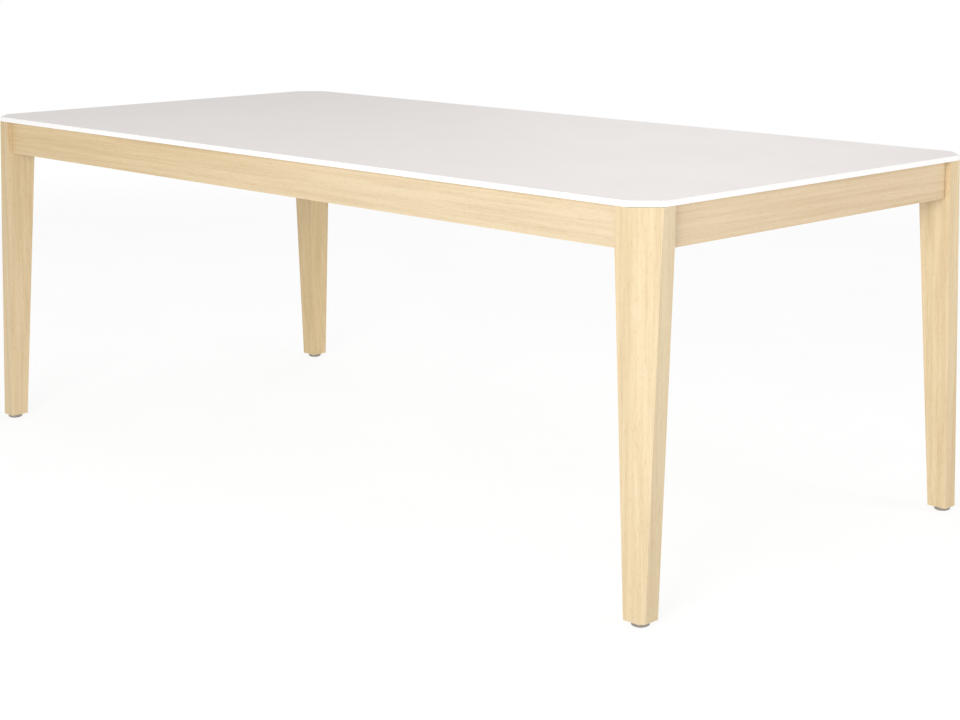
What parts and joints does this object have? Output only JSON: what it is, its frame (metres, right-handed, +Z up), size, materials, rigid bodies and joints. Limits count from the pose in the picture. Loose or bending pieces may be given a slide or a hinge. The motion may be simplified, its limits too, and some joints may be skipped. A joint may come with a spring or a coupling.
{
  "type": "communion table",
  "caption": "Long rectangular table: thin white top with clipped corners on a pale wood frame of aprons and tapered faceted legs with screw-in levelling glides.",
  "frame": {"origin": "on the floor, under the centre of the table", "axes": "+X along the table's length, +Y across its width, +Z up out of the table top"},
  "size_m": [2.06, 1, 0.74],
  "materials": {
    "top_white": "satin white solid surface",
    "leg_wood": "clear matt lacquer on pale straight-grained wood",
    "apron_wood": "clear matt lacquer on pale straight-grained wood",
    "rail_wood": "planed, unfinished",
    "pressed_steel": "zinc plated",
    "zinc_hardware": "bright zinc plated",
    "glide_metal": "satin nickel",
    "glide_pad": "moulded nylon"
  },
  "bodies": {
    "table_frame": {"table_top": "top_white", "long_apron_back": "apron_wood", "long_apron_front": "apron_wood", "short_apron_right": "apron_wood", "short_apron_left": "apron_wood", "cross_rail_left": "rail_wood", "cross_rail_middle": "rail_wood", "cross_rail_right": "rail_wood", "top_clip_back_1": "pressed_steel", "top_clip_back_2": "pressed_steel", "top_clip_back_3": "pressed_steel", "top_clip_back_4": "pressed_steel", "top_clip_front_1": "pressed_steel", "top_clip_front_2": "pressed_steel", "top_clip_front_3": "pressed_steel", "top_clip_front_4": "pressed_steel", "top_clip_right_1": "pressed_steel", "top_clip_right_2": "pressed_steel", "top_clip_left_1": "pressed_steel", "top_clip_left_2": "pressed_steel", "leg_front_left": "leg_wood", "corner_brace_front_left": "pressed_steel", "hanger_bolt_front_left_lower": "zinc_hardware", "hanger_bolt_front_left_upper": "zinc_hardware", "flange_nut_front_left_lower": "zinc_hardware", "flange_nut_front_left_upper": "zinc_hardware", "threaded_insert_front_left": "zinc_hardware", "leg_front_right": "leg_wood", "corner_brace_front_right": "pressed_steel", "hanger_bolt_front_right_lower": "zinc_hardware", "hanger_bolt_front_right_upper": "zinc_hardware", "flange_nut_front_right_lower": "zinc_hardware", "flange_nut_front_right_upper": "zinc_hardware", "threaded_insert_front_right": "zinc_hardware", "leg_back_left": "leg_wood", "corner_brace_back_left": "pressed_steel", "hanger_bolt_back_left_lower": "zinc_hardware", "hanger_bolt_back_left_upper": "zinc_hardware", "flange_nut_back_left_lower": "zinc_hardware", "flange_nut_back_left_upper": "zinc_hardware", "threaded_insert_back_left": "zinc_hardware", "leg_back_right": "leg_wood", "corner_brace_back_right": "pressed_steel", "hanger_bolt_back_right_lower": "zinc_hardware", "hanger_bolt_back_right_upper": "zinc_hardware", "flange_nut_back_right_lower": "zinc_hardware", "flange_nut_back_right_upper": "zinc_hardware", "threaded_insert_back_right": "zinc_hardware"},
    "stem_front_left": {"glide_stem_front_left": "zinc_hardware"},
    "foot_front_left": {"glide_base_front_left": "glide_metal", "glide_pad_front_left": "glide_pad"},
    "stem_front_right": {"glide_stem_front_right": "zinc_hardware"},
    "foot_front_right": {"glide_base_front_right": "glide_metal", "glide_pad_front_right": "glide_pad"},
    "stem_back_left": {"glide_stem_back_left": "zinc_hardware"},
    "foot_back_left": {"glide_base_back_left": "glide_metal", "glide_pad_back_left": "glide_pad"},
    "stem_back_right": {"glide_stem_back_right": "zinc_hardware"},
    "foot_back_right": {"glide_base_back_right": "glide_metal", "glide_pad_back_right": "glide_pad"}
  },
  "joints": [
    {"name": "glide_travel_front_left", "type": "slide", "parent": "table_frame", "child": "stem_front_left", "axis": [0, 0, -1], "range_m": [0, 0.0125]},
    {"name": "glide_turn_front_left", "type": "hinge", "parent": "stem_front_left", "child": "foot_front_left", "pos_m": [-1.007, -0.477, 0], "axis": [0, 0, -1], "range_deg": [0, 3600]},
    {"name": "glide_travel_front_right", "type": "slide", "parent": "table_frame", "child": "stem_front_right", "axis": [0, 0, -1], "range_m": [0, 0.0125]},
    {"name": "glide_turn_front_right", "type": "hinge", "parent": "stem_front_right", "child": "foot_front_right", "pos_m": [1.007, -0.477, 0], "axis": [0, 0, -1], "range_deg": [0, 3600]},
    {"name": "glide_travel_back_left", "type": "slide", "parent": "table_frame", "child": "stem_back_left", "axis": [0, 0, -1], "range_m": [0, 0.0125]},
    {"name": "glide_turn_back_left", "type": "hinge", "parent": "stem_back_left", "child": "foot_back_left", "pos_m": [-1.007, 0.477, 0], "axis": [0, 0, -1], "range_deg": [0, 3600]},
    {"name": "glide_travel_back_right", "type": "slide", "parent": "table_frame", "child": "stem_back_right", "axis": [0, 0, -1], "range_m": [0, 0.0125]},
    {"name": "glide_turn_back_right", "type": "hinge", "parent": "stem_back_right", "child": "foot_back_right", "pos_m": [1.007, 0.477, 0], "axis": [0, 0, -1], "range_deg": [0, 3600]}
  ],
  "couplings": [
    {"joint": "glide_travel_front_left", "follows": "glide_turn_front_left", "m_per_rad": 0.00019894},
    {"joint": "glide_travel_front_right", "follows": "glide_turn_front_right", "m_per_rad": 0.00019894},
    {"joint": "glide_travel_back_left", "follows": "glide_turn_back_left", "m_per_rad": 0.00019894},
    {"joint": "glide_travel_back_right", "follows": "glide_turn_back_right", "m_per_rad": 0.00019894}
  ]
}
